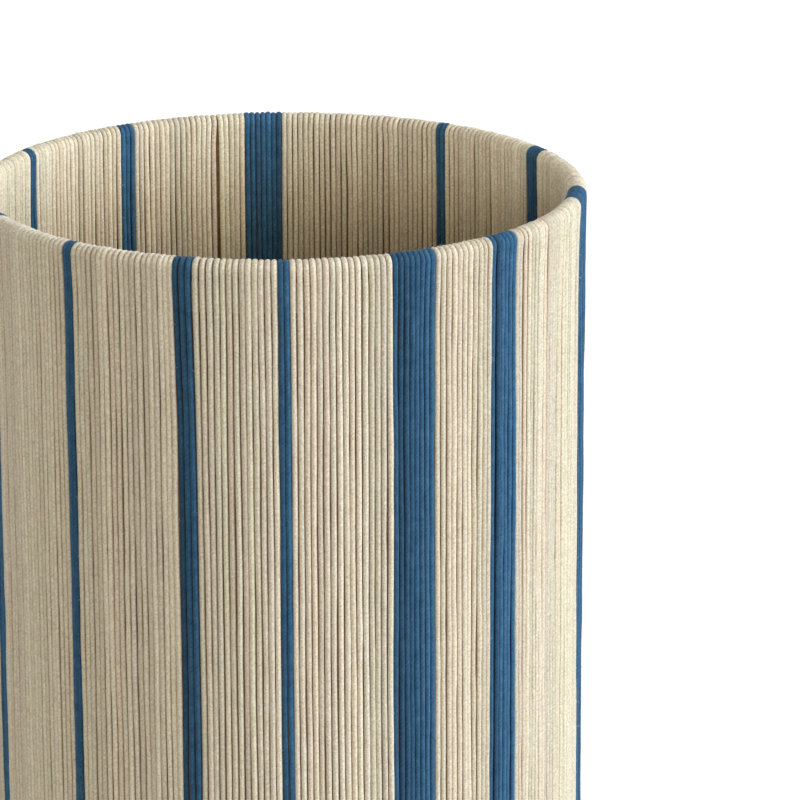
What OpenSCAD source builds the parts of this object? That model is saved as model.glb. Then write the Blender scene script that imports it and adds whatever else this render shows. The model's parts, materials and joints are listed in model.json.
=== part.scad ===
// Round open-topped bin: a board drum on two wire hoops, wound up and over with
// cotton yarn, in cream with blue stripes. It stands on +Z with its front towards -Y.

/* [Drum] */
// Outer diameter over the wound rim
rim_d = 252; // [160:1:400]
// Overall height, from the floor to the top of the rim
height = 300; // [150:1:600]
// Thickness of the drum's board
board_t = 1.6; // [1:0.1:2.5]
// Thickness of the wire in the two hoops
hoop_wire_d = 3; // [2.6:0.1:5]
// Length of wall over which the yarn eases in from a hoop to the board
ease_length = 50; // [15:1:60]

/* [Yarn] */
// Thickness of one layer of yarn
yarn_t = 2.3; // [1.5:0.1:4]
// Clearance between the yarn and what it is wound on
winding_gap = 0.2; // [0.05:0.05:0.5]
// Width of wall that one blue strand takes
blue_pitch = 2.34; // [1.5:0.01:2.6]
// Middle of each blue stripe, in degrees round from the front towards +X
stripe_angle = [-17.2, 0.5, 24.6, 45, 80.6, 116.3, 144.3, 183.3, 213.2, 241, 265, 292, 318];
// Strands in each blue stripe
stripe_strands = [3, 2, 8, 6, 8, 4, 2, 7, 3, 2, 6, 3, 2];

/* [Tape] */
// Width of the tape that grips the yarn at each end of the drum
tape_w = 12; // [6:1:30]
// Share of the winding clearance that the tape fills
tape_fill = 0.75; // [0.5:0.05:0.9]
// Distance from the board's edge to the tape
tape_inset = 4; // [1:1:20]

/* [Base] */
// Gap between the floor and the lowest yarn
yarn_lift = 2; // [1:0.5:10]
// Thickness of the wires that cross the lower hoop
cross_wire_d = 3; // [2:0.1:5]
// Turn of the crossed wires, in degrees round from the front towards +X
cross_wire_turn = 11; // [6:1:16]
// Thickness of the base board
base_t = 6; // [4:0.5:12]
// Clearance between the base board and the yarn around it
base_clearance = 0.3; // [0.1:0.1:1]
// Thickness of the felt on the base board
lining_t = 1.5; // [1:0.5:4]

/* [Feet] */
// Diameter of a foot
foot_d = 20; // [14:1:30]
// Distance from the wall's inside to the middle of a foot
foot_inset = 22; // [16:1:40]
// Thickness of a foot screw's shank
screw_d = 3; // [2:0.1:4]
// Diameter of a foot screw's head
screw_head_d = 7; // [5:0.5:9]
// Height of a foot screw's head
screw_head_h = 2; // [1:0.5:3]
// Depth from the floor to a foot screw's head
screw_recess = 1; // [0.5:0.5:2]
// Clearance round a foot screw in its foot
screw_clearance = 0.3; // [0.1:0.1:0.6]
// Board left between a foot screw's pilot hole and the felt
pilot_cover = 1; // [0.5:0.5:2]

/* [Hidden] */
// Clearance round a screw's shank in its pilot hole, and between butted wires
snug = 0.02;
// Space between a screw's point and the end of its pilot hole
point_space = 0.5;
// Cut-outs run this far past the faces they open
overrun = 1;
// Segments in half a turn of the winding's outline
arc_steps = 12;
$fn = 96;

hoop_r = hoop_wire_d / 2;
// Distance from the ring's centreline to the inside and the outside of the yarn
hoop_inner_reach = hoop_r + winding_gap;
hoop_outer_reach = hoop_inner_reach + yarn_t;
wall_inner_reach = board_t / 2 + winding_gap;
wall_outer_reach = wall_inner_reach + yarn_t;
// The hoops and the board share one centreline radius
ring_r = rim_d / 2 - hoop_outer_reach;
top_hoop_z = height - hoop_outer_reach;
low_hoop_z = yarn_lift + hoop_outer_reach;
board_low_z = low_hoop_z + hoop_r;
board_top_z = top_hoop_z - hoop_r;

tape_t = winding_gap * tape_fill;
board_outer_r = ring_r + board_t / 2;

cross_wire_r = cross_wire_d / 2;
base_r = ring_r - hoop_outer_reach - base_clearance;
base_z = low_hoop_z + cross_wire_r;
lining_z = base_z + base_t;
foot_circle_r = base_r - foot_inset;
foot_count = 4;
pilot_top_z = lining_z - pilot_cover;
screw_head_top_z = screw_recess + screw_head_h;

stripe_count = len(stripe_angle);
// Degrees that one blue strand takes, measured halfway through the outer layer of yarn
strand_deg = 360 * blue_pitch / (2 * PI * (ring_r + (wall_inner_reach + wall_outer_reach) / 2));
function stripe_start(i) = stripe_angle[i] - stripe_strands[i] * strand_deg / 2;
function stripe_end(i) = stripe_angle[i] + stripe_strands[i] * strand_deg / 2;
// The first stripe follows the last one a full turn later
function next_start(i) = i + 1 < stripe_count ? stripe_start(i + 1) : stripe_start(0) + 360;

// Turns from degrees round from the front (-Y) to degrees round from +X
module from_front(angle) {
    rotate([0, 0, angle - 90]) children();
}

module ring(r_in, r_out, z_low, z_high) {
    translate([0, 0, z_low])
        difference() {
            cylinder(r = r_out, h = z_high - z_low);
            translate([0, 0, -overrun]) cylinder(r = r_in, h = z_high - z_low + 2 * overrun);
        }
}

module hoop(z) {
    translate([0, 0, z]) rotate_extrude() translate([ring_r, 0]) circle(r = hoop_r);
}

// Board drum that gives the bin its shape
module core_tube() {
    color("#8a6a48") ring(ring_r - board_t / 2, board_outer_r, board_low_z, board_top_z);
}

module top_hoop() {
    color("#9a9c9e") hoop(top_hoop_z);
}

module bottom_hoop() {
    color("#9a9c9e") hoop(low_hoop_z);
}

module tape(z) {
    color("#d8cfa8") ring(board_outer_r, board_outer_r + tape_t, z, z + tape_w);
}

module top_tape() {
    tape(board_top_z - tape_inset - tape_w);
}

module bottom_tape() {
    tape(board_low_z + tape_inset);
}

// Outline of a yarn surface round both hoops, at one distance from each hoop and from the board
function loop_outline(hoop_reach, wall_reach) = concat(
    [for (k = [0:arc_steps]) let (a = 180 * k / arc_steps)
        [ring_r + hoop_reach * cos(a), top_hoop_z + hoop_reach * sin(a)]],
    [[ring_r - wall_reach, top_hoop_z - ease_length], [ring_r - wall_reach, low_hoop_z + ease_length]],
    [for (k = [0:arc_steps]) let (a = 180 + 180 * k / arc_steps)
        [ring_r + hoop_reach * cos(a), low_hoop_z + hoop_reach * sin(a)]],
    [[ring_r + wall_reach, low_hoop_z + ease_length], [ring_r + wall_reach, top_hoop_z - ease_length]]
);

// Passage for a crossed wire through the inner layer of yarn
module wire_passage(angle) {
    from_front(angle)
        translate([base_r - overrun, 0, low_hoop_z])
            rotate([0, 90, 0])
                cylinder(r = cross_wire_r + winding_gap, h = ring_r - base_r + overrun);
}

// Yarn wound round both hoops over one stretch of the rim
module winding(start, end) {
    difference() {
        rotate_extrude(start = start - 90, angle = end - start)
            difference() {
                polygon(loop_outline(hoop_outer_reach, wall_outer_reach));
                polygon(loop_outline(hoop_inner_reach, wall_inner_reach));
            }
        for (turn = [0:90:450])
            if (cross_wire_turn + turn > start && cross_wire_turn + turn < end)
                wire_passage(cross_wire_turn + turn);
    }
}

module blue_yarn(i) {
    color("#2d5a85") winding(stripe_start(i), stripe_end(i));
}

// Cream yarn fills the rim from one blue stripe to the next
module cream_yarn(i) {
    color("#ddd0b4") winding(stripe_end(i), next_start(i));
}

module cross_wire(x_low, x_high) {
    color("#9a9c9e")
        from_front(cross_wire_turn)
            translate([x_low, 0, low_hoop_z])
                rotate([0, 90, 0])
                    cylinder(r = cross_wire_r, h = x_high - x_low);
}

module cross_wire_long() {
    cross_wire(hoop_r - ring_r, ring_r - hoop_r);
}

// A short wire butts against the long one and reaches the hoop
module cross_wire_short(turn) {
    rotate([0, 0, turn]) cross_wire(cross_wire_r + snug, ring_r - hoop_r);
}

module screw_places() {
    for (k = [1:foot_count]) foot_place(k) children();
}

// The feet stand midway between the crossed wires
module foot_place(k) {
    from_front(cross_wire_turn + 45 + 90 * (k - 1)) translate([foot_circle_r, 0, 0]) children();
}

// Base board, with a blind pilot hole over each foot
module base_board() {
    color("#b08d5f")
        difference() {
            translate([0, 0, base_z]) cylinder(r = base_r, h = base_t);
            screw_places()
                translate([0, 0, base_z - overrun])
                    cylinder(r = screw_d / 2 + snug, h = pilot_top_z - base_z + overrun, $fn = 32);
        }
}

module base_felt() {
    color("#c9bda3") translate([0, 0, lining_z]) cylinder(r = base_r, h = lining_t);
}

// Rubber foot, recessed from below for its screw
module foot(k) {
    color("#3a332c")
        foot_place(k)
            difference() {
                cylinder(r = foot_d / 2, h = base_z);
                translate([0, 0, -overrun])
                    cylinder(r = screw_head_d / 2 + screw_clearance, h = screw_head_top_z + overrun);
                cylinder(r = screw_d / 2 + screw_clearance, h = base_z + overrun, $fn = 32);
            }
}

module foot_screws() {
    color("#b5b6b8")
        screw_places() {
            translate([0, 0, screw_recess]) cylinder(r = screw_head_d / 2, h = screw_head_h);
            translate([0, 0, screw_recess])
                cylinder(r = screw_d / 2, h = pilot_top_z - point_space - screw_recess, $fn = 32);
        }
}

core_tube();
top_hoop();
bottom_hoop();
top_tape();
bottom_tape();
cross_wire_long();
cross_wire_short(-90);  // cross_wire_left
cross_wire_short(90);  // cross_wire_right
base_board();
base_felt();
for (k = [1:foot_count])
    foot(k);
foot_screws();
for (i = [1:stripe_count])
    blue_yarn(i - 1);
for (i = [1:stripe_count])
    cream_yarn(i - 1);
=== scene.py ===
"""A round bin wound over its rim with cotton yarn, cream with blue stripes, in a plain white studio.

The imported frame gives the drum, hoops, base and feet. Every strand of yarn is built here as a closed loop
of its own round the two hoops. Lengths are in metres. Angles round the rim are in degrees from the front
(-Y) towards +X.
"""

import json
import math

import bpy
import numpy as np
from mathutils import Matrix, Vector


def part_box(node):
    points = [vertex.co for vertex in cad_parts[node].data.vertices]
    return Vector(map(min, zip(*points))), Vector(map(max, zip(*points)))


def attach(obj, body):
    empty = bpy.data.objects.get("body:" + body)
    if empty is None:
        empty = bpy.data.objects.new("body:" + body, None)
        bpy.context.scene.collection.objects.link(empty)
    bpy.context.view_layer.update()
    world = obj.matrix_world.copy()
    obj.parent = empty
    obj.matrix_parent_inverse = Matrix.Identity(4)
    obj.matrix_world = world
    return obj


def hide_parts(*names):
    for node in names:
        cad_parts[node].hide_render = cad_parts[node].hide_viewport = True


MM = 0.001
SEED = 7

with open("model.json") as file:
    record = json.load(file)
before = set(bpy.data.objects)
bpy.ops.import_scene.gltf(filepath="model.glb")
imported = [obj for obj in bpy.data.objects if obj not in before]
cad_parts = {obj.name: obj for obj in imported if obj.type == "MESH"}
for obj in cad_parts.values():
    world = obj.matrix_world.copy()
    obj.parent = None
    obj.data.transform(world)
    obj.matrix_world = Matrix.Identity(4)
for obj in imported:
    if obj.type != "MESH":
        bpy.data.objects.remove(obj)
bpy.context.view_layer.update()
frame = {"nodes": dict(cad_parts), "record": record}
scene = bpy.context.scene

# ---------------------------------------------------------------- sizes, from the frame

hoop_low, hoop_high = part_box("top_hoop")
low_hoop_low, low_hoop_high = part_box("bottom_hoop")
core_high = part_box("core_tube")[1]
yarn_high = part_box("cream_yarn_1")[1]
felt_low, felt_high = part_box("base_felt")

HOOP_R = (hoop_high.z - hoop_low.z) / 2
RING_R = hoop_high.x - HOOP_R
TOP_HOOP_Z = (hoop_high.z + hoop_low.z) / 2
LOW_HOOP_Z = (low_hoop_high.z + low_hoop_low.z) / 2
BOARD_HALF = core_high.x - RING_R
WINDING_GAP = 0.2 * MM
YARN_T = yarn_high.z - TOP_HOOP_Z - HOOP_R - WINDING_GAP
# From the ring's centreline to a strand's own centreline, at a hoop and at the wall
HOOP_REACH = HOOP_R + WINDING_GAP + YARN_T / 2
WALL_REACH = BOARD_HALF + WINDING_GAP + YARN_T / 2
EASE_LENGTH = 50 * MM
OUTER_R = RING_R + WALL_REACH

# ---------------------------------------------------------------- the stripes, as the part has them

BLUE_PITCH = 2.34 * MM
CREAM_PITCH = 2.476 * MM
STRIPE_ANGLES = [-17.2, 0.5, 24.6, 45, 80.6, 116.3, 144.3, 183.3, 213.2, 241, 265, 292, 318]
STRIPE_STRANDS = [3, 2, 8, 6, 8, 4, 2, 7, 3, 2, 6, 3, 2]
STRIPE_COUNT = len(STRIPE_ANGLES)


def pitch_degrees(pitch):
    return math.degrees(pitch / OUTER_R)


def stripe_edges(i):
    half = STRIPE_STRANDS[i] * pitch_degrees(BLUE_PITCH) / 2
    return STRIPE_ANGLES[i] - half, STRIPE_ANGLES[i] + half


def stretches():
    """Every stretch of one colour, in order round the rim: name, colour, first and last edge, strands."""
    found = []
    for i in range(STRIPE_COUNT):
        start, end = stripe_edges(i)
        found.append((f"blue_yarn_{i + 1}", "blue", start, end, STRIPE_STRANDS[i]))
        following = stripe_edges(i + 1)[0] if i + 1 < STRIPE_COUNT else stripe_edges(0)[0] + 360
        count = round((following - end) / pitch_degrees(CREAM_PITCH))
        found.append((f"cream_yarn_{i + 1}", "cream", end, following, count))
    return found


STRETCHES = stretches()
STRAND_COUNT = sum(s[4] for s in STRETCHES)

# ---------------------------------------------------------------- the path of a strand

LEG_STEP = 3 * MM
ARC_STEPS = 8
SIDES = 10


def loop_path():
    """Stations of the loop that a strand's centreline follows, in the plane through the drum's axis.

    Returns radius, height, the outward normal in that plane and the length run so far, for each station,
    and the length of the whole loop.
    """
    leg = TOP_HOOP_Z - LOW_HOOP_Z
    leg_steps = round(leg / LEG_STEP)

    def reach(z):
        near = np.minimum(TOP_HOOP_Z - z, z - LOW_HOOP_Z)
        ease = np.clip(1 - near / EASE_LENGTH, 0, 1) ** 2
        return WALL_REACH + (HOOP_REACH - WALL_REACH) * ease

    arc = np.linspace(0, math.pi, ARC_STEPS, endpoint=False)
    down = TOP_HOOP_Z - leg * np.arange(leg_steps) / leg_steps
    up = LOW_HOOP_Z + leg * np.arange(leg_steps) / leg_steps
    radius = np.concatenate([
        RING_R + HOOP_REACH * np.cos(arc), RING_R - reach(down),
        RING_R - HOOP_REACH * np.cos(arc), RING_R + reach(up)])
    height = np.concatenate([
        TOP_HOOP_Z + HOOP_REACH * np.sin(arc), down,
        LOW_HOOP_Z - HOOP_REACH * np.sin(arc), up])
    normal_r = np.concatenate([np.cos(arc), -np.ones(leg_steps), -np.cos(arc), np.ones(leg_steps)])
    normal_z = np.concatenate([np.sin(arc), np.zeros(leg_steps), -np.sin(arc), np.zeros(leg_steps)])
    step = np.hypot(np.roll(radius, -1) - radius, np.roll(height, -1) - height)
    run = np.concatenate([[0], np.cumsum(step)[:-1]])
    return radius, height, normal_r, normal_z, run, float(step.sum())


PATH_R, PATH_Z, NORMAL_R, NORMAL_Z, RUN, LOOP_LENGTH = loop_path()
STATIONS = len(PATH_R)
OUTSIDE = np.clip(NORMAL_R, 0, 1)
INSIDE = np.clip(-NORMAL_R, 0, 1)
NOT_INSIDE = 1 - INSIDE

# Samples of a random field along one loop
FIELD_SAMPLES = 512
rng = np.random.default_rng(SEED)


def smooth_field(strands, length):
    """Random field of unit spread that changes over so many strands and over so much of their length."""
    samples = FIELD_SAMPLES
    noise = rng.standard_normal((STRAND_COUNT, samples))
    across = np.fft.fftfreq(STRAND_COUNT)[:, None]
    along = np.fft.fftfreq(samples, LOOP_LENGTH / samples)[None, :]
    keep = np.exp(-2 * (math.pi * across * strands) ** 2 - 2 * (math.pi * along * length) ** 2)
    field = np.real(np.fft.ifft2(np.fft.fft2(noise) * keep))
    field /= field.std()
    place = RUN / LOOP_LENGTH * samples
    low = place.astype(int) % samples
    share = place - np.floor(place)
    return field[:, low] * (1 - share) + field[:, (low + 1) % samples] * share


# ---------------------------------------------------------------- how each strand lies

ANGLES, WIDTHS = [], []
for name, colour, start, end, count in STRETCHES:
    step = (end - start) / count
    ANGLES += [start + (k + 0.5) * step for k in range(count)]
    WIDTHS += [step] * count
ANGLES = np.array(ANGLES)
WIDTHS = np.radians(WIDTHS)
IS_BLUE = np.concatenate([[colour == "blue"] * count for _, colour, _, _, count in STRETCHES])

from_hoop = np.minimum(TOP_HOOP_Z - PATH_Z, PATH_Z - LOW_HOOP_Z).clip(0)
# Shares that fade with distance from a hoop: slowly, and right over the hoop itself
near_rim = np.exp(-from_hoop / (22 * MM))
over_hoop = np.exp(-from_hoop / (5 * MM))

# Sideways wander, some shared by neighbours and some each strand's own, and more of it near the hoops
sideways = 0.16 * MM * smooth_field(2.2, 45 * MM) + 0.09 * MM * smooth_field(0.5, 14 * MM)
sideways += 0.20 * MM * smooth_field(1.2, 16 * MM) * near_rim * (1 - over_hoop)
sideways += 0.08 * MM * smooth_field(0.4, 150 * MM)
sideways *= 1 - 0.6 * over_hoop
# Some strands lie a little prouder than others, and change places slowly. The hoops pull them level
proud = 0.16 * MM * smooth_field(0.4, 60 * MM) + 0.04 * MM * smooth_field(0.4, 7 * MM)
proud *= np.where(IS_BLUE, 1.6, 1.0)[:, None] * (1 - 0.65 * near_rim)
# Thick and thin places in the spun yarn
plump = 1 + 0.035 * smooth_field(0.3, 4.5 * MM) + 0.035 * smooth_field(0.3, 60 * MM)


def angle_gap(a, b):
    return (a - b + 180) % 360 - 180


def stretch_of_path(side, z_high, z_low, ramp=12 * MM):
    """Share of 1 on one side of the wall between two heights, easing to 0 over a ramp at each end."""
    rise = np.clip((z_high - PATH_Z) / ramp + 1, 0, 1) * np.clip((PATH_Z - z_low) / ramp + 1, 0, 1)
    return side * rise * rise * (3 - 2 * rise)


# Three chances for each strand's colour: how bright, which tint, and how much of it
CHANCES = rng.random((STRAND_COUNT, 3))


def tint_strand(angle, bright, tint, amount):
    CHANCES[int(np.argmin(np.abs(angle_gap(ANGLES, angle))))] = bright, tint, amount


def part_strands(angle, width, side, z_high, z_low, reach=3.0):
    """Pushes the strands on both sides of an angle apart, so that the board shows between them."""
    gap = angle_gap(ANGLES, angle)
    strands_away = np.abs(gap) / pitch_degrees(CREAM_PITCH)
    push = np.sign(gap) * width / 2 * np.exp(-np.maximum(strands_away - 0.5, 0) / reach)
    sideways[:] += push[:, None] * stretch_of_path(side, z_high, z_low)[None, :]


def move_strand(angle, side, z_high, z_low, across=0.0, out=0.0, ramp=12 * MM):
    """Moves the one strand at an angle sideways, and proud of the rest or behind them."""
    k = int(np.argmin(np.abs(angle_gap(ANGLES, angle))))
    share = stretch_of_path(side, z_high, z_low, ramp)
    sideways[k] += across * share
    proud[k] += out * share


TOP, FOOT = TOP_HOOP_Z, LOW_HOOP_Z

# Partings: angle, width in mm, side, upper and lower end, strands that give way. The second is short
for angle, width, side, z_high, z_low, reach in (
        (9.4, 0.45, OUTSIDE, TOP - 12 * MM, FOOT + 20 * MM, 1.5),
        (32.6, 0.5, OUTSIDE, TOP - 6 * MM, TOP - 30 * MM, 1.2),
        (193.2, 0.85, INSIDE, TOP - 10 * MM, FOOT + 60 * MM, 2.0),
        (135.8, 0.6, INSIDE, TOP - 8 * MM, FOOT + 90 * MM, 1.5),
        (131.4, 0.5, INSIDE, TOP - 8 * MM, FOOT + 90 * MM, 1.5)):
    part_strands(angle, width * MM, side, z_high, z_low, reach)

# Two pale strands that lie proud, down the inside
move_strand(192.0, INSIDE, TOP + 4 * MM, FOOT + 60 * MM, across=-0.1 * MM, out=0.5 * MM)
move_strand(191.0, INSIDE, TOP + 4 * MM, FOOT + 60 * MM, out=0.4 * MM)
tint_strand(192.0, 1.0, 1.0, 1.0)
tint_strand(191.0, 0.9, 1.0, 0.9)

# The narrow stripe left of the front spreads towards its left, most at the rim, and crowds its neighbours:
# angle, and shift in mm all the way down and as much again at the rim
for angle, all_down, at_rim in (
        (-12.6, 0.05, 0.15), (-13.8, 0.1, 0.25), (-15.0, 0.2, 0.45),
        (-16.1, 0.3, 0.6), (-17.2, 0.55, 0.7), (-18.3, 0.8, 0.8),
        (-19.4, 0.6, 0.65), (-20.6, 0.4, 0.4), (-21.7, 0.2, 0.25), (-22.8, 0.1, 0.12)):
    move_strand(angle, NOT_INSIDE, TOP + 10 * MM, FOOT - 10 * MM, across=-all_down * MM)
    move_strand(angle, NOT_INSIDE, TOP + 10 * MM, TOP - 15 * MM, across=-at_rim * MM, ramp=60 * MM)

# Blue strands that lie behind their neighbours: angle, distance of each end from the top and the lower
# hoop, shift across, shift out, ramp, all in mm
for angle, from_top, from_foot, across, out, ramp in (
        (-18.3, 22, 10, 0.0, -0.75, 20),
        (20.8, 30, 30, -0.2, -0.5, 25),
        (22.4, 40, 30, 0.1, -0.35, 25),
        (26.2, 20, 20, 0.0, -0.35, 25),
        (42.3, 10, 20, -0.1, -0.6, 18)):
    move_strand(
        angle, OUTSIDE, TOP - from_top * MM, FOOT + from_foot * MM,
        across=across * MM, out=out * MM, ramp=ramp * MM)

# Blue strands drawn darker or lighter: angle and brightness, from 0 to 1. This is partly random tone among
# the strands and partly painted shade darkening strands that lie back among their neighbours
for angle, bright in (
        (-18.3, 0.0), (-17.2, 0.4), (-16.1, 0.5),
        (20.9, 0.35), (21.9, 0.0), (23.0, 0.15), (24.1, 0.2),
        (25.1, 0.5), (26.2, 0.6), (27.3, 1.0), (28.4, 0.7),
        (42.3, 0.5), (43.4, 0.0), (45.5, 0.9), (46.6, 1.0)):
    tint_strand(angle, bright, 0.5, 0.5)


# ---------------------------------------------------------------- materials


class Nodes:
    """Short calls for building one material's node tree."""

    def __init__(self, name):
        self.material = bpy.data.materials.new(name)
        self.material.use_nodes = True
        self.tree = self.material.node_tree
        self.tree.nodes.clear()
        self.output = self.tree.nodes.new("ShaderNodeOutputMaterial")
        self.shader = self.tree.nodes.new("ShaderNodeBsdfPrincipled")
        self.link(self.shader.outputs[0], self.output.inputs["Surface"])

    def link(self, a, b):
        self.tree.links.new(a, b)

    def add(self, kind, inputs=None, **settings):
        node = self.tree.nodes.new(kind)
        for key, value in settings.items():
            setattr(node, key, value)
        for key, value in (inputs or {}).items():
            self.put(node.inputs[key], value)
        return node

    def put(self, socket, value):
        if isinstance(value, bpy.types.NodeSocket):
            self.link(value, socket)
        else:
            socket.default_value = value

    def math(self, operation, a, b=0.0, c=0.0):
        node = self.add("ShaderNodeMath", operation=operation)
        for socket, value in zip(node.inputs, (a, b, c)):
            self.put(socket, value)
        return node.outputs[0]

    def mix(self, factor, a, b, blend="MIX"):
        node = self.add("ShaderNodeMix", data_type="RGBA", blend_type=blend)
        for key, value in (("Factor", factor), ("A", a), ("B", b)):
            sockets = [s for s in node.inputs if s.name == key and s.enabled]
            self.put(sockets[0], value)
        return [s for s in node.outputs if s.enabled][0]

    def noise(self, vector, scale, detail=4.0, roughness=0.6):
        node = self.add("ShaderNodeTexNoise", {"Scale": scale, "Detail": detail, "Roughness": roughness})
        self.put(node.inputs["Vector"], vector)
        return node.outputs["Fac"]

    def position(self):
        return self.add("ShaderNodeTexCoord").outputs["Object"]

    def bump(self, height, distance, strength=1.0, normal=None):
        node = self.add("ShaderNodeBump", {"Strength": strength, "Distance": distance, "Height": height})
        if normal is not None:
            self.put(node.inputs["Normal"], normal)
        return node.outputs[0]

    def surface(self, **values):
        for key, value in values.items():
            self.put(self.shader.inputs[key.replace("_", " ")], value)
        return self.material


def linear(r, g, b):
    """An sRGB colour of 0 to 255, as the shader's linear colour."""
    def one(v):
        v /= 255
        return v / 12.92 if v <= 0.04045 else ((v + 0.055) / 1.055) ** 2.4
    return (one(r), one(g), one(b), 1.0)


# Plies in one strand, and the length in which they make one turn
PLIES = 3
PLY_TURN = 6 * MM
# How fine the fibres are: along a metre of strand, and over one turn round it
FIBRES_ALONG, FIBRES_ROUND = 420.0, 22.0
# Painted shade: what the cotton's colour is multiplied by deep inside the bin, darker and warmer for light
# bounced many times off the yarn
PAINTED_WARM_SHADE = (1.0, 0.95, 0.86, 1.0)


def cotton(name, base, deep, groove_shade, tints, tint_amount, spread, sheen):
    """Soft spun cotton, with a tint for each strand, fibres wound round it and painted shade darkening each
    side.

    `spread` is how much strands differ in brightness.
    """
    n = Nodes(name)
    strand = n.add("ShaderNodeAttribute", attribute_name="strand")
    place = n.add("ShaderNodeSeparateXYZ", {0: strand.outputs["Vector"]})
    around, along, depth = place.outputs[0], place.outputs[1], place.outputs[2]
    random = n.add("ShaderNodeAttribute", attribute_name="strand_random")
    chance = n.add("ShaderNodeSeparateColor", {0: random.outputs["Color"]})

    turns = n.math("MULTIPLY", along, 1 / PLY_TURN)
    phase = n.math("MULTIPLY", n.math("ADD", around, turns), PLIES * 2 * math.pi)
    ply = n.math("MULTIPLY_ADD", n.math("COSINE", phase), 0.5, 0.5)

    # Fibres lie along the plies, so the noise is long that way and fine across it
    lengthwise = n.math("MULTIPLY", along, FIBRES_ALONG)
    crosswise = n.math("MULTIPLY", n.math("ADD", around, turns), FIBRES_ROUND)
    fibre_at = n.add("ShaderNodeCombineXYZ", {"X": crosswise, "Y": lengthwise, "Z": chance.outputs[0]})
    fibre = n.noise(fibre_at.outputs[0], 1.0, 6.0, 0.72)
    fluff = n.noise(n.position(), 1150.0, 3.0, 0.6)
    slub = n.noise(n.position(), 260.0, 2.0, 0.5)

    tint = n.mix(chance.outputs[1], tints[0], tints[1])
    colour = n.mix(n.math("MULTIPLY", chance.outputs[2], tint_amount), base, tint)
    # Fibre and slub noise are the cotton's own tone; the small ply term is painted shade in the creases
    # between the plies
    shade = n.math("MULTIPLY_ADD", fibre, 0.5, n.math("MULTIPLY", ply, 0.08))
    shade = n.math("MULTIPLY_ADD", slub, 0.45, shade)
    tone_and_ply_shade_map = n.add("ShaderNodeMapRange", {0: shade, 1: 0.35, 2: 0.7})
    colour = n.mix(tone_and_ply_shade_map.outputs[0], deep, colour)
    bright = n.math("MULTIPLY_ADD", chance.outputs[0], spread, 1 - spread / 2)
    speckle = n.add("ShaderNodeMapRange", {0: fluff, 1: 0.34, 2: 0.66, 3: 0.80, 4: 1.14})
    bright = n.math("MULTIPLY", bright, speckle.outputs[0])
    lit = n.add("ShaderNodeHueSaturation", {"Color": colour, "Value": bright})

    # Painted shade: the side that faces a neighbour is darkened, for the shade in the grooves between
    # strands
    turned = n.math("ABSOLUTE", n.math("SUBTRACT", around, 0.5))
    shaded = n.add("ShaderNodeMapRange", {0: turned, 1: 0.12, 2: 0.26}, interpolation_type="SMOOTHSTEP")
    whole = n.mix(shaded.outputs[0], lit.outputs[0], n.mix(1.0, lit.outputs[0], groove_shade, "MULTIPLY"))
    # Painted shade: down inside the bin the yarn is drawn darker and warmer, for light bounced many times
    # off the yarn
    whole = n.mix(depth, whole, n.mix(1.0, whole, PAINTED_WARM_SHADE, "MULTIPLY"))

    height = n.math("MULTIPLY_ADD", fibre, 0.9, n.math("MULTIPLY", ply, 0.35))
    height = n.math("MULTIPLY_ADD", fluff, 1.5, height)
    return n.surface(
        Base_Color=whole, Roughness=0.92, Specular_IOR_Level=0.15,
        Sheen_Weight=sheen, Sheen_Roughness=0.45, Normal=n.bump(height, 0.2 * MM))


def board(name, base, dark, fleck_scale):
    """Brown fibre board: pressed fibres, flecks and a dull surface."""
    n = Nodes(name)
    at = n.position()
    cloud = n.noise(at, 60.0, 5.0)
    fleck = n.noise(at, fleck_scale, 6.0, 0.75)
    colour = n.mix(n.add("ShaderNodeMapRange", {0: fleck, 1: 0.35, 2: 0.7}).outputs[0], dark, base)
    colour = n.mix(n.math("MULTIPLY", cloud, 0.35), colour, dark)
    return n.surface(
        Base_Color=colour, Roughness=0.88, Specular_IOR_Level=0.25, Normal=n.bump(fleck, 0.12 * MM))


def felt(name, base, light, dark):
    n = Nodes(name)
    at = n.position()
    wool = n.noise(at, 900.0, 8.0, 0.75)
    tuft = n.noise(at, 160.0, 4.0, 0.6)
    colour = n.mix(n.add("ShaderNodeMapRange", {0: wool, 1: 0.3, 2: 0.7}).outputs[0], dark, light)
    colour = n.mix(n.math("MULTIPLY", tuft, 0.8), colour, base)
    height = n.math("MULTIPLY_ADD", wool, 0.6, tuft)
    return n.surface(
        Base_Color=colour, Roughness=0.95, Specular_IOR_Level=0.1,
        Sheen_Weight=0.25, Sheen_Roughness=0.5, Normal=n.bump(height, 0.5 * MM))


def metal(name, base, scratch_scale, roughness):
    n = Nodes(name)
    at = n.position()
    mottled = n.noise(at, scratch_scale, 5.0, 0.65)
    colour = n.mix(mottled, base, (base[0] * 0.72, base[1] * 0.72, base[2] * 0.74, 1.0))
    rough = n.math("MULTIPLY_ADD", mottled, 0.3, roughness)
    return n.surface(
        Base_Color=colour, Metallic=1.0, Roughness=rough, Normal=n.bump(mottled, 0.03 * MM))


def rubber(name, base):
    n = Nodes(name)
    at = n.position()
    grain = n.noise(at, 1800.0, 3.0, 0.6)
    dust = n.noise(at, 120.0, 4.0, 0.6)
    colour = n.mix(n.math("MULTIPLY", dust, 0.35), base, linear(92, 86, 78))
    return n.surface(
        Base_Color=colour, Roughness=0.72, Specular_IOR_Level=0.35, Normal=n.bump(grain, 0.05 * MM))


def paper_tape(name, base):
    n = Nodes(name)
    at = n.position()
    crepe = n.noise(at, 700.0, 3.0, 0.6)
    return n.surface(
        Base_Color=n.mix(crepe, base, (base[0] * 0.8, base[1] * 0.8, base[2] * 0.75, 1.0)),
        Roughness=0.6, Normal=n.bump(crepe, 0.05 * MM))


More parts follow.
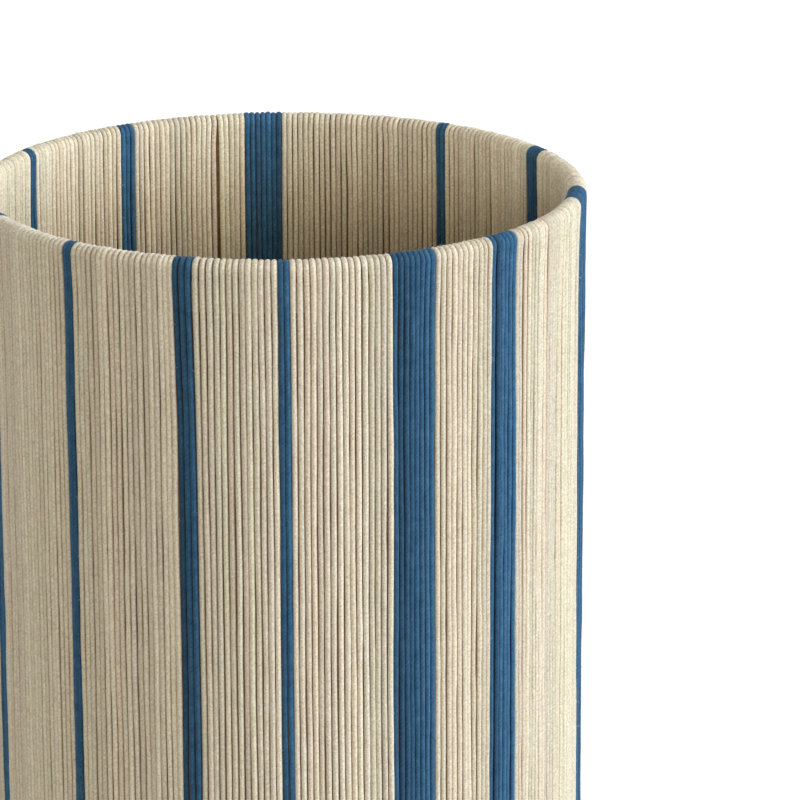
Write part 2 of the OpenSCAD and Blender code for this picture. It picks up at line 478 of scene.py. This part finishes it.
# The third colour of each cotton is painted shade for the grooves between strands
CREAM = cotton(
    "cream_cotton", base=linear(252, 245, 227), deep=linear(238, 226, 199), groove_shade=(0.46, 0.35, 0.24, 1.0),
    tints=(linear(250, 225, 204), linear(238, 242, 208)), tint_amount=0.8, spread=0.24, sheen=0.22)
BLUE = cotton(
    "blue_cotton", base=linear(72, 120, 155), deep=linear(46, 90, 124), groove_shade=(0.10, 0.15, 0.22, 1.0),
    tints=(linear(82, 108, 152), linear(60, 124, 155)), tint_amount=0.5, spread=0.48, sheen=0.12)

MATERIALS = {
    "core_board": board("core_board", linear(186, 146, 106), linear(134, 98, 66), 420.0),
    "base_board": board("base_board", linear(184, 150, 110), linear(140, 106, 70), 520.0),
    "hoop_wire": metal("hoop_wire", (0.42, 0.42, 0.43, 1.0), 300.0, 0.38),
    "screw_steel": metal("screw_steel", (0.72, 0.72, 0.73, 1.0), 500.0, 0.22),
    "foot_rubber": rubber("foot_rubber", linear(48, 44, 40)),
    "tape": paper_tape("tape", linear(214, 202, 160)),
}


def finish_cad_nodes():
    """Gives each CAD node that still shows the material of its slot."""
    slots = {row["node"]: row["material_slot"] for row in frame["record"]["subparts"]}
    for name, node in frame["nodes"].items():
        material = MATERIALS.get(slots[name])
        if material:
            node.data.materials.clear()
            node.data.materials.append(material)


# ---------------------------------------------------------------- the yarn

# Share of its pitch that a strand fills, and how much more it fills over a hoop
BLUE_FILL, CREAM_FILL, HOOP_FILL = 1.01, 0.94, 0.05


def strand_shells(first, count):
    """Points of the strands' skins: strands x stations x sides x 3."""
    rows = slice(first, first + count)
    turn = 2 * math.pi * np.arange(SIDES) / SIDES
    # The round begins at the side that faces the board
    out, across = -np.cos(turn), np.sin(turn)
    local_pitch = WIDTHS[rows, None] * PATH_R[None, :]
    fill = np.where(IS_BLUE[rows, None], BLUE_FILL, CREAM_FILL) + HOOP_FILL * over_hoop
    half_width = local_pitch * 0.5 * plump[rows] * fill
    half_depth = YARN_T * 0.5 * plump[rows]
    lean = proud[rows] + (half_depth - YARN_T / 2) * 0.5
    radius = PATH_R + NORMAL_R * lean
    height = PATH_Z + NORMAL_Z * lean
    angle = np.radians(ANGLES[rows] - 90)[:, None] + sideways[rows] / PATH_R

    r = radius[:, :, None] + NORMAL_R[None, :, None] * half_depth[:, :, None] * out
    z = height[:, :, None] + NORMAL_Z[None, :, None] * half_depth[:, :, None] * out
    side = half_width[:, :, None] * across
    cos, sin = np.cos(angle)[:, :, None], np.sin(angle)[:, :, None]
    return np.stack([r * cos - side * sin, r * sin + side * cos, z], axis=-1)


def shell_faces(count):
    """Quads of so many closed strands, each a ring of rings."""
    station = np.arange(STATIONS)[:, None]
    side = np.arange(SIDES)[None, :]
    ahead, beside = (station + 1) % STATIONS, (side + 1) % SIDES
    quad = np.stack([
        station * SIDES + side, station * SIDES + beside,
        ahead * SIDES + beside, ahead * SIDES + side], axis=-1).reshape(-1, 4)
    return (quad[None] + (np.arange(count) * STATIONS * SIDES)[:, None, None]).reshape(-1, 4)


# Depth down the inside over which the painted warm shade comes in
PAINTED_WARM_SHADE_DEPTH = 45 * MM


def deep_inside(run):
    """Share of 1 for lengths run well down the inside of the bin, easing in from the rim: where the painted
    warm shade lies.
    """
    closed_run = np.append(RUN, LOOP_LENGTH)
    depth = np.clip(TOP_HOOP_Z - np.interp(run, closed_run, np.append(PATH_Z, PATH_Z[0])), 0, None)
    on_inside = np.interp(run, closed_run, np.append(INSIDE, INSIDE[0]))
    rise = np.clip(depth / PAINTED_WARM_SHADE_DEPTH, 0, 1)
    return on_inside * rise * rise * (3 - 2 * rise)


def strand_corners(count):
    """Place round the strand (0 to 1), along it (metres) and how deep inside, for each face corner."""
    side = np.arange(SIDES)
    around = np.stack([side, side + 1, side + 1, side], axis=-1) / SIDES
    ahead = np.append(RUN[1:], LOOP_LENGTH)
    along = np.stack([RUN, RUN, ahead, ahead], axis=-1)
    around = np.broadcast_to(around[None, :, :], (STATIONS, SIDES, 4))
    along = np.broadcast_to(along[:, None, :], (STATIONS, SIDES, 4))
    corner = np.stack([around, along, deep_inside(along)], axis=-1).reshape(-1, 3)
    return np.tile(corner, (count, 1))


FUZZ_PER_STRAND = 120
FUZZ_RINGS, FUZZ_SIDES = 3, 4
# Depth of a hair's root in the skin, and its half thickness in mm at the root, half way and the tip
FUZZ_ROOT = 0.12 * MM
FUZZ_HALF_MM = (0.045, 0.036, 0.016)


def fuzz(shells):
    """Loose fibres that stand out of the strands: closed hairs rooted in the skin.

    Returns hairs x rings x corners x 3, the strand each hair grows from and its place along that strand.
    """
    strands = len(shells)
    count = strands * FUZZ_PER_STRAND
    strand = np.repeat(np.arange(strands), FUZZ_PER_STRAND)
    run = rng.random(count) * LOOP_LENGTH
    station = np.searchsorted(RUN, run, side="right") - 1
    ahead = (station + 1) % STATIONS
    span = np.append(RUN[1:], LOOP_LENGTH)[station] - RUN[station]
    share = ((run - RUN[station]) / span)[:, None]
    # Only the half that faces away from the board
    side = rng.integers(SIDES // 4 + 1, SIDES - SIDES // 4, count)
    middle = shells.mean(axis=2)
    heart = middle[strand, station] * (1 - share) + middle[strand, ahead] * share
    skin = shells[strand, station, side] * (1 - share) + shells[strand, ahead, side] * share
    along = middle[strand, ahead] - middle[strand, station]

    def unit(v):
        return v / np.linalg.norm(v, axis=1, keepdims=True)

    out, along = unit(skin - heart), unit(along)
    beside = np.cross(out, along)
    length = (0.6 + 1.4 * rng.random(count) ** 2)[:, None] * MM
    drift = rng.normal(0, 0.7, (count, 2))
    first = unit(out + drift[:, :1] * along + drift[:, 1:] * beside)
    drift = rng.normal(0, 1.1, (count, 2))
    second = unit(first + drift[:, :1] * along + drift[:, 1:] * beside)
    root = skin - FUZZ_ROOT * out
    centres = (root, root + 0.5 * length * first, root + 0.5 * length * (first + second))
    square = ((1, 1), (-1, 1), (-1, -1), (1, -1))
    rings = []
    for centre, half in zip(centres, FUZZ_HALF_MM):
        corners = [half * MM * (a * along + b * beside) for a, b in square]
        rings.append(np.stack([centre + corner for corner in corners], axis=1))
    return np.stack(rings, axis=1), strand, run


def fuzz_faces(count):
    """Quads of so many closed hairs."""
    points = FUZZ_RINGS * FUZZ_SIDES
    quads = [(0, 1, 2, 3), (points - 1, points - 2, points - 3, points - 4)]
    for ring in range(0, points - FUZZ_SIDES, FUZZ_SIDES):
        for k in range(FUZZ_SIDES):
            beside = (k + 1) % FUZZ_SIDES
            quads.append((ring + k, ring + FUZZ_SIDES + k, ring + FUZZ_SIDES + beside, ring + beside))
    return (np.array(quads)[None] + points * np.arange(count)[:, None, None]).reshape(-1, 4)


def quads_to_mesh(name, points, quads):
    mesh = bpy.data.meshes.new(name)
    mesh.vertices.add(len(points))
    mesh.vertices.foreach_set("co", points.astype(np.float32).ravel())
    mesh.loops.add(quads.size)
    mesh.loops.foreach_set("vertex_index", quads.astype(np.int32).ravel())
    mesh.polygons.add(len(quads))
    mesh.polygons.foreach_set("loop_start", np.arange(0, quads.size, 4, dtype=np.int32))
    mesh.polygons.foreach_set("use_smooth", np.ones(len(quads), bool))
    mesh.update(calc_edges=True)
    mesh.validate()
    return mesh


def yarn_piece(name, colour, first, count):
    shells = strand_shells(first, count)
    hairs, hair_strand, hair_run = fuzz(shells)
    points = np.concatenate([shells.reshape(-1, 3), hairs.reshape(-1, 3)])
    hair_quads = fuzz_faces(len(hairs))
    quads = np.concatenate([shell_faces(count), hair_quads + shells.size // 3])
    mesh = quads_to_mesh(name.replace("yarn", "strands"), points, quads)

    hair_corner = np.stack([np.full(len(hairs), 0.5), hair_run, deep_inside(hair_run)], axis=-1)
    corners_per_hair = hair_quads.size // len(hairs)
    corner = np.concatenate([strand_corners(count), np.repeat(hair_corner, corners_per_hair, axis=0)])
    place = mesh.attributes.new("strand", "FLOAT_VECTOR", "CORNER")
    place.data.foreach_set("vector", corner.astype(np.float32).ravel())
    chance = np.ones((count, 4))
    chance[:, :3] = CHANCES[first:first + count]
    per_point = np.concatenate([
        np.repeat(chance, STATIONS * SIDES, axis=0),
        np.repeat(chance[hair_strand], FUZZ_RINGS * FUZZ_SIDES, axis=0)])
    random = mesh.attributes.new("strand_random", "FLOAT_COLOR", "POINT")
    random.data.foreach_set("color", per_point.astype(np.float32).ravel())
    mesh.materials.append(BLUE if colour == "blue" else CREAM)
    piece = bpy.data.objects.new(mesh.name, mesh)
    scene.collection.objects.link(piece)
    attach(piece, "root")
    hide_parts(name)
    return piece


def wind_yarn():
    first = 0
    for name, colour, _, _, count in STRETCHES:
        yarn_piece(name, colour, first, count)
        first += count


# ---------------------------------------------------------------- the felt on the base


def base_felt():
    """Pressed felt with a soft edge and a slightly uneven top."""
    rings, spokes = 40, 160
    unevenness = 0.12 * MM
    radius, thick = felt_high.x, felt_high.z - felt_low.z
    edge = thick / 2
    flat = np.linspace(0, radius - edge, rings)
    bend = np.linspace(0, math.pi / 2, 6)[1:]
    profile = [(r, felt_high.z) for r in flat]
    bend_r = radius - edge
    profile += [(bend_r + edge * math.sin(a), felt_high.z - edge + edge * math.cos(a)) for a in bend]
    profile += [(bend_r + edge * math.cos(a), felt_low.z + edge - edge * math.sin(a)) for a in bend]
    profile += [(r, felt_low.z) for r in flat[:-1][::-4]]
    points = [Vector((0, 0, felt_high.z))]
    for r, z in profile[1:-1]:
        for k in range(spokes):
            a = 2 * math.pi * k / spokes
            lump = unevenness * math.sin(5 * a + 170 * r) * math.sin(310 * r + 2 * a)
            lift = lump - unevenness if z > felt_low.z + edge else 0
            points.append(Vector((r * math.cos(a), r * math.sin(a), z + lift)))
    points.append(Vector((0, 0, felt_low.z)))
    faces = []
    rows = len(profile) - 2
    for row in range(rows - 1):
        for k in range(spokes):
            a, b = 1 + row * spokes + k, 1 + row * spokes + (k + 1) % spokes
            faces.append((a, a + spokes, b + spokes, b))
    for k in range(spokes):
        faces.append((0, 1 + k, 1 + (k + 1) % spokes))
        last = 1 + (rows - 1) * spokes
        faces.append((len(points) - 1, last + (k + 1) % spokes, last + k))
    mesh = bpy.data.meshes.new("felt_lining")
    mesh.from_pydata(points, [], faces)
    for polygon in mesh.polygons:
        polygon.use_smooth = True
    mesh.materials.append(
        felt("base_felt", linear(196, 184, 160), linear(214, 204, 182), linear(150, 138, 116)))
    piece = bpy.data.objects.new("felt_lining", mesh)
    scene.collection.objects.link(piece)
    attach(piece, "root")
    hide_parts("base_felt")


# ---------------------------------------------------------------- studio

# Strength of the world's light from below and from above the horizon
LIGHT_BELOW, LIGHT_ABOVE = 0.16, 0.12


def studio():
    """A white floor, and a white world that gives a little light and the floor's bounce from below."""
    n = Nodes("studio_floor")
    n.surface(
        Base_Color=(0.9, 0.9, 0.9, 1.0), Roughness=0.9, Specular_IOR_Level=0.1,
        Emission_Color=(1.0, 1.0, 1.0, 1.0), Emission_Strength=0.5)
    mesh = bpy.data.meshes.new("floor")
    half = 12.0
    corners = [(-half, -half, 0), (half, -half, 0), (half, half, 0), (-half, half, 0)]
    mesh.from_pydata(corners, [], [(0, 1, 2, 3)])
    mesh.materials.append(n.material)
    floor = bpy.data.objects.new("floor", mesh)
    scene.collection.objects.link(floor)
    # The floor's glow is for the picture alone, and the world gives its bounce
    floor.visible_diffuse = False

    world = bpy.data.worlds.new("studio")
    world.use_nodes = True
    tree = world.node_tree
    background = tree.nodes["Background"]
    direction = tree.nodes.new("ShaderNodeTexCoord")
    split = tree.nodes.new("ShaderNodeSeparateXYZ")
    level = tree.nodes.new("ShaderNodeMapRange")
    for key, value in ((1, -0.15), (2, 0.15), (3, LIGHT_BELOW), (4, LIGHT_ABOVE)):
        level.inputs[key].default_value = value
    # The camera sees a full white backdrop, whatever light the world gives
    path = tree.nodes.new("ShaderNodeLightPath")
    seen = tree.nodes.new("ShaderNodeMath")
    seen.operation = "MAXIMUM"
    tree.links.new(direction.outputs["Generated"], split.inputs[0])
    tree.links.new(split.outputs["Z"], level.inputs[0])
    tree.links.new(level.outputs[0], seen.inputs[0])
    tree.links.new(path.outputs["Is Camera Ray"], seen.inputs[1])
    tree.links.new(seen.outputs[0], background.inputs["Strength"])
    background.inputs["Color"].default_value = (1.0, 1.0, 1.0, 1.0)
    scene.world = world


def soft_light(name, azimuth, elevation, spread, strength, colour):
    """Soft, even light from one direction. Azimuth is round from the front towards +X."""
    a, e = math.radians(azimuth - 90), math.radians(elevation)
    towards = Vector((math.cos(e) * math.cos(a), math.cos(e) * math.sin(a), math.sin(e)))
    data = bpy.data.lights.new(name, "SUN")
    data.energy, data.angle, data.color = strength, math.radians(spread), colour
    light = bpy.data.objects.new(name, data)
    light.rotation_euler = towards.to_track_quat("Z", "Y").to_euler()
    scene.collection.objects.link(light)


def lights():
    soft_light("window", 74, 18, 44, 2.66, (0.97, 1.02, 1.105))
    soft_light("front_fill", 2, 10, 18, 1.09, (1.0, 0.94, 0.84))
    soft_light("left_fill", 285, 10, 20, 0.31, (1.0, 0.93, 0.80))
    soft_light("back", 205, 18, 44, 1.7, (1.0, 0.99, 0.97))
    soft_light("overhead", 0, 88, 40, 0.35, (1.0, 1.0, 1.0))


# ---------------------------------------------------------------- camera

CAMERA_PLACE = Vector((0.0, -1.915, 0.788))
CAMERA_AIM = Vector((0.0491, 0.0, 0.2056))
CAMERA_ROLL = -0.2
CAMERA_LENS = 216.5


def camera():
    data = bpy.data.cameras.new("camera")
    data.lens, data.sensor_width = CAMERA_LENS, 36.0
    cam = bpy.data.objects.new("camera", data)
    cam.location = CAMERA_PLACE
    look = (CAMERA_AIM - CAMERA_PLACE).to_track_quat("-Z", "Y").to_matrix()
    cam.rotation_euler = (look @ Matrix.Rotation(math.radians(CAMERA_ROLL), 3, "Z")).to_euler()
    scene.collection.objects.link(cam)
    scene.camera = cam


camera()
wind_yarn()
base_felt()
finish_cad_nodes()
studio()
lights()
scene.view_settings.view_transform = "Standard"
